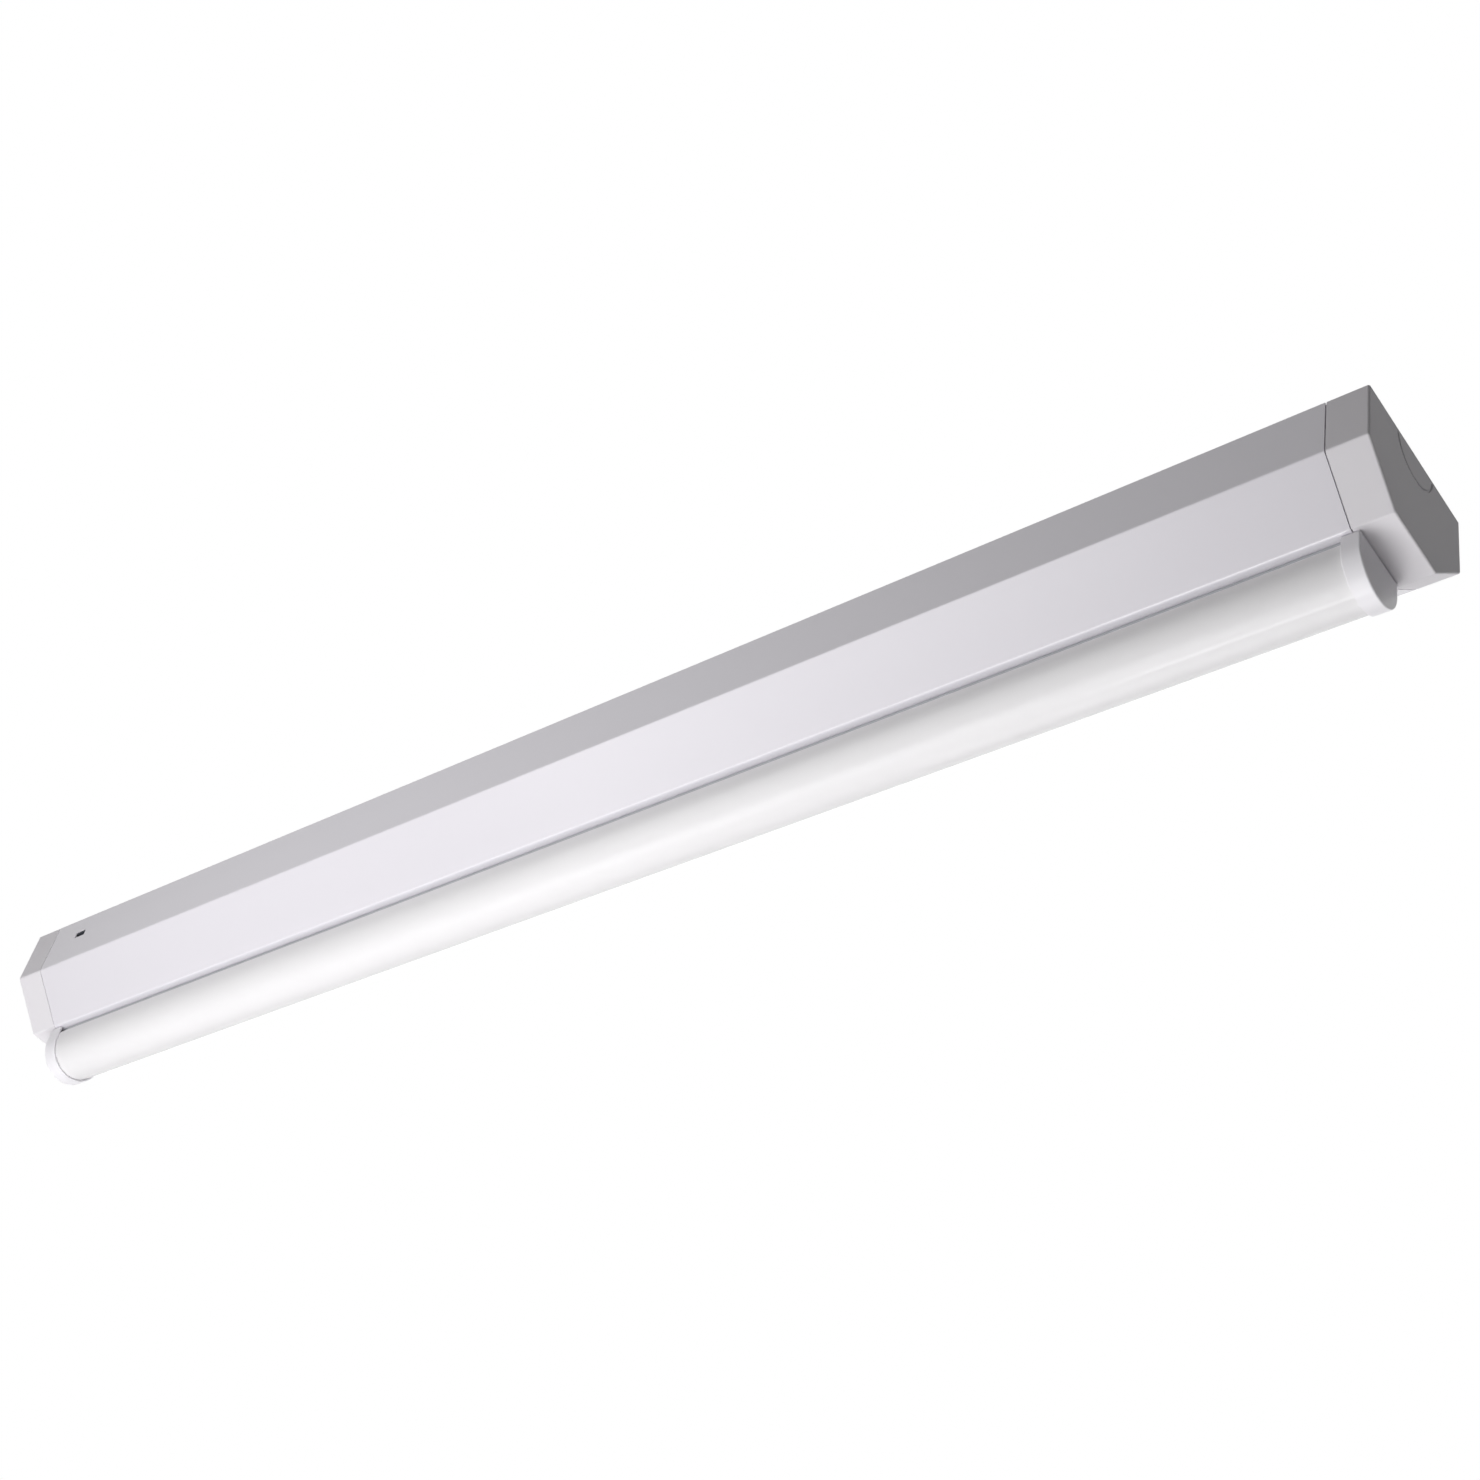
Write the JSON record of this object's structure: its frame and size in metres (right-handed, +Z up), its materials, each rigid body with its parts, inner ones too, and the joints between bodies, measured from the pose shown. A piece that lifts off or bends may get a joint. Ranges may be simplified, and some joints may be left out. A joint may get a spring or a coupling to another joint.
{
  "type": "led batten light",
  "caption": "Long white ceiling batten: folded steel housing with sloped sides and moulded end caps, an opal light bar below, and a ceiling tray that it clips to.",
  "frame": {"origin": "middle of the tray's flat top, on the ceiling plane", "axes": "+X along the batten, +Z up into the ceiling, -Y towards the side with the left-hand window"},
  "size_m": [0.62, 0.061, 0.059],
  "materials": {
    "white_steel": "semi-gloss powder coat",
    "galvanised_steel": "galvanised sheet",
    "spring_steel": "hardened strip, blue-black",
    "zinc_steel": "zinc plated",
    "white_cap_plastic": "satin moulded",
    "white_gloss_plastic": "gloss moulded",
    "opal_plastic": "opal extruded",
    "mill_aluminium": "extruded, mill finish",
    "grey_rubber": "moulded rubber",
    "white_board": "white solder mask",
    "green_board": "green solder mask",
    "led_phosphor": "silicone over phosphor",
    "driver_plastic": "moulded case",
    "ferrite": "pressed ferrite",
    "capacitor_sleeve": "shrink sleeve",
    "terminal_plastic": "moulded nylon",
    "button_plastic": "moulded nylon",
    "contact_brass": "stamped strip",
    "wire_brown": "wire insulation",
    "wire_blue": "wire insulation",
    "wire_green": "wire insulation",
    "wire_red": "wire insulation",
    "wire_black": "wire insulation"
  },
  "bodies": {
    "tray": {"ceiling_tray": "galvanised_steel", "cable_grommet": "grey_rubber", "catch_springs": "spring_steel"},
    "housing": {"housing_channel": "white_steel", "light_bar_screws": "zinc_steel", "carrier_profile": "mill_aluminium", "led_board": "white_board", "led_chips": "led_phosphor", "diffuser": "opal_plastic", "bar_cap_left": "white_gloss_plastic", "bar_cap_right": "white_gloss_plastic", "driver_base": "driver_plastic", "driver_lid": "driver_plastic", "driver_board": "green_board", "driver_transformer": "ferrite", "driver_capacitors": "capacitor_sleeve", "driver_choke": "ferrite", "driver_screws": "zinc_steel", "earth_lug": "zinc_steel", "earth_washer": "zinc_steel", "earth_screw": "zinc_steel", "terminal_block": "terminal_plastic", "terminal_base": "terminal_plastic", "terminal_contacts": "contact_brass", "terminal_clamps": "spring_steel", "terminal_screw": "zinc_steel", "lead_bush": "grey_rubber", "lead_clip": "terminal_plastic", "wire_line": "wire_brown", "wire_neutral": "wire_blue", "wire_earth": "wire_green", "wire_led_plus": "wire_red", "wire_led_minus": "wire_black"},
    "end_cap_left": {"end_cap_left": "white_cap_plastic"},
    "end_cap_right": {"end_cap_right": "white_cap_plastic"},
    "terminal_button_line": {"terminal_button_line": "button_plastic"},
    "terminal_button_earth": {"terminal_button_earth": "button_plastic"},
    "terminal_button_neutral": {"terminal_button_neutral": "button_plastic"}
  },
  "joints": [
    {"name": "housing_drop", "type": "slide", "parent": "tray", "child": "housing", "axis": [0, 0, -1], "range_m": [0, 0.03], "deforming": ["catch_springs"]},
    {"name": "end_cap_left_pull", "type": "slide", "parent": "housing", "child": "end_cap_left", "axis": [-1, 0, 0], "range_m": [0, 0.02]},
    {"name": "end_cap_right_pull", "type": "slide", "parent": "housing", "child": "end_cap_right", "axis": [1, 0, 0], "range_m": [0, 0.02]},
    {"name": "terminal_button_line_press", "type": "slide", "parent": "housing", "child": "terminal_button_line", "axis": [0, 0, -1], "range_m": [0, 0.0015], "stiffness_N_per_m": 400},
    {"name": "terminal_button_earth_press", "type": "slide", "parent": "housing", "child": "terminal_button_earth", "axis": [0, 0, -1], "range_m": [0, 0.0015], "stiffness_N_per_m": 400},
    {"name": "terminal_button_neutral_press", "type": "slide", "parent": "housing", "child": "terminal_button_neutral", "axis": [0, 0, -1], "range_m": [0, 0.0015], "stiffness_N_per_m": 400}
  ]
}
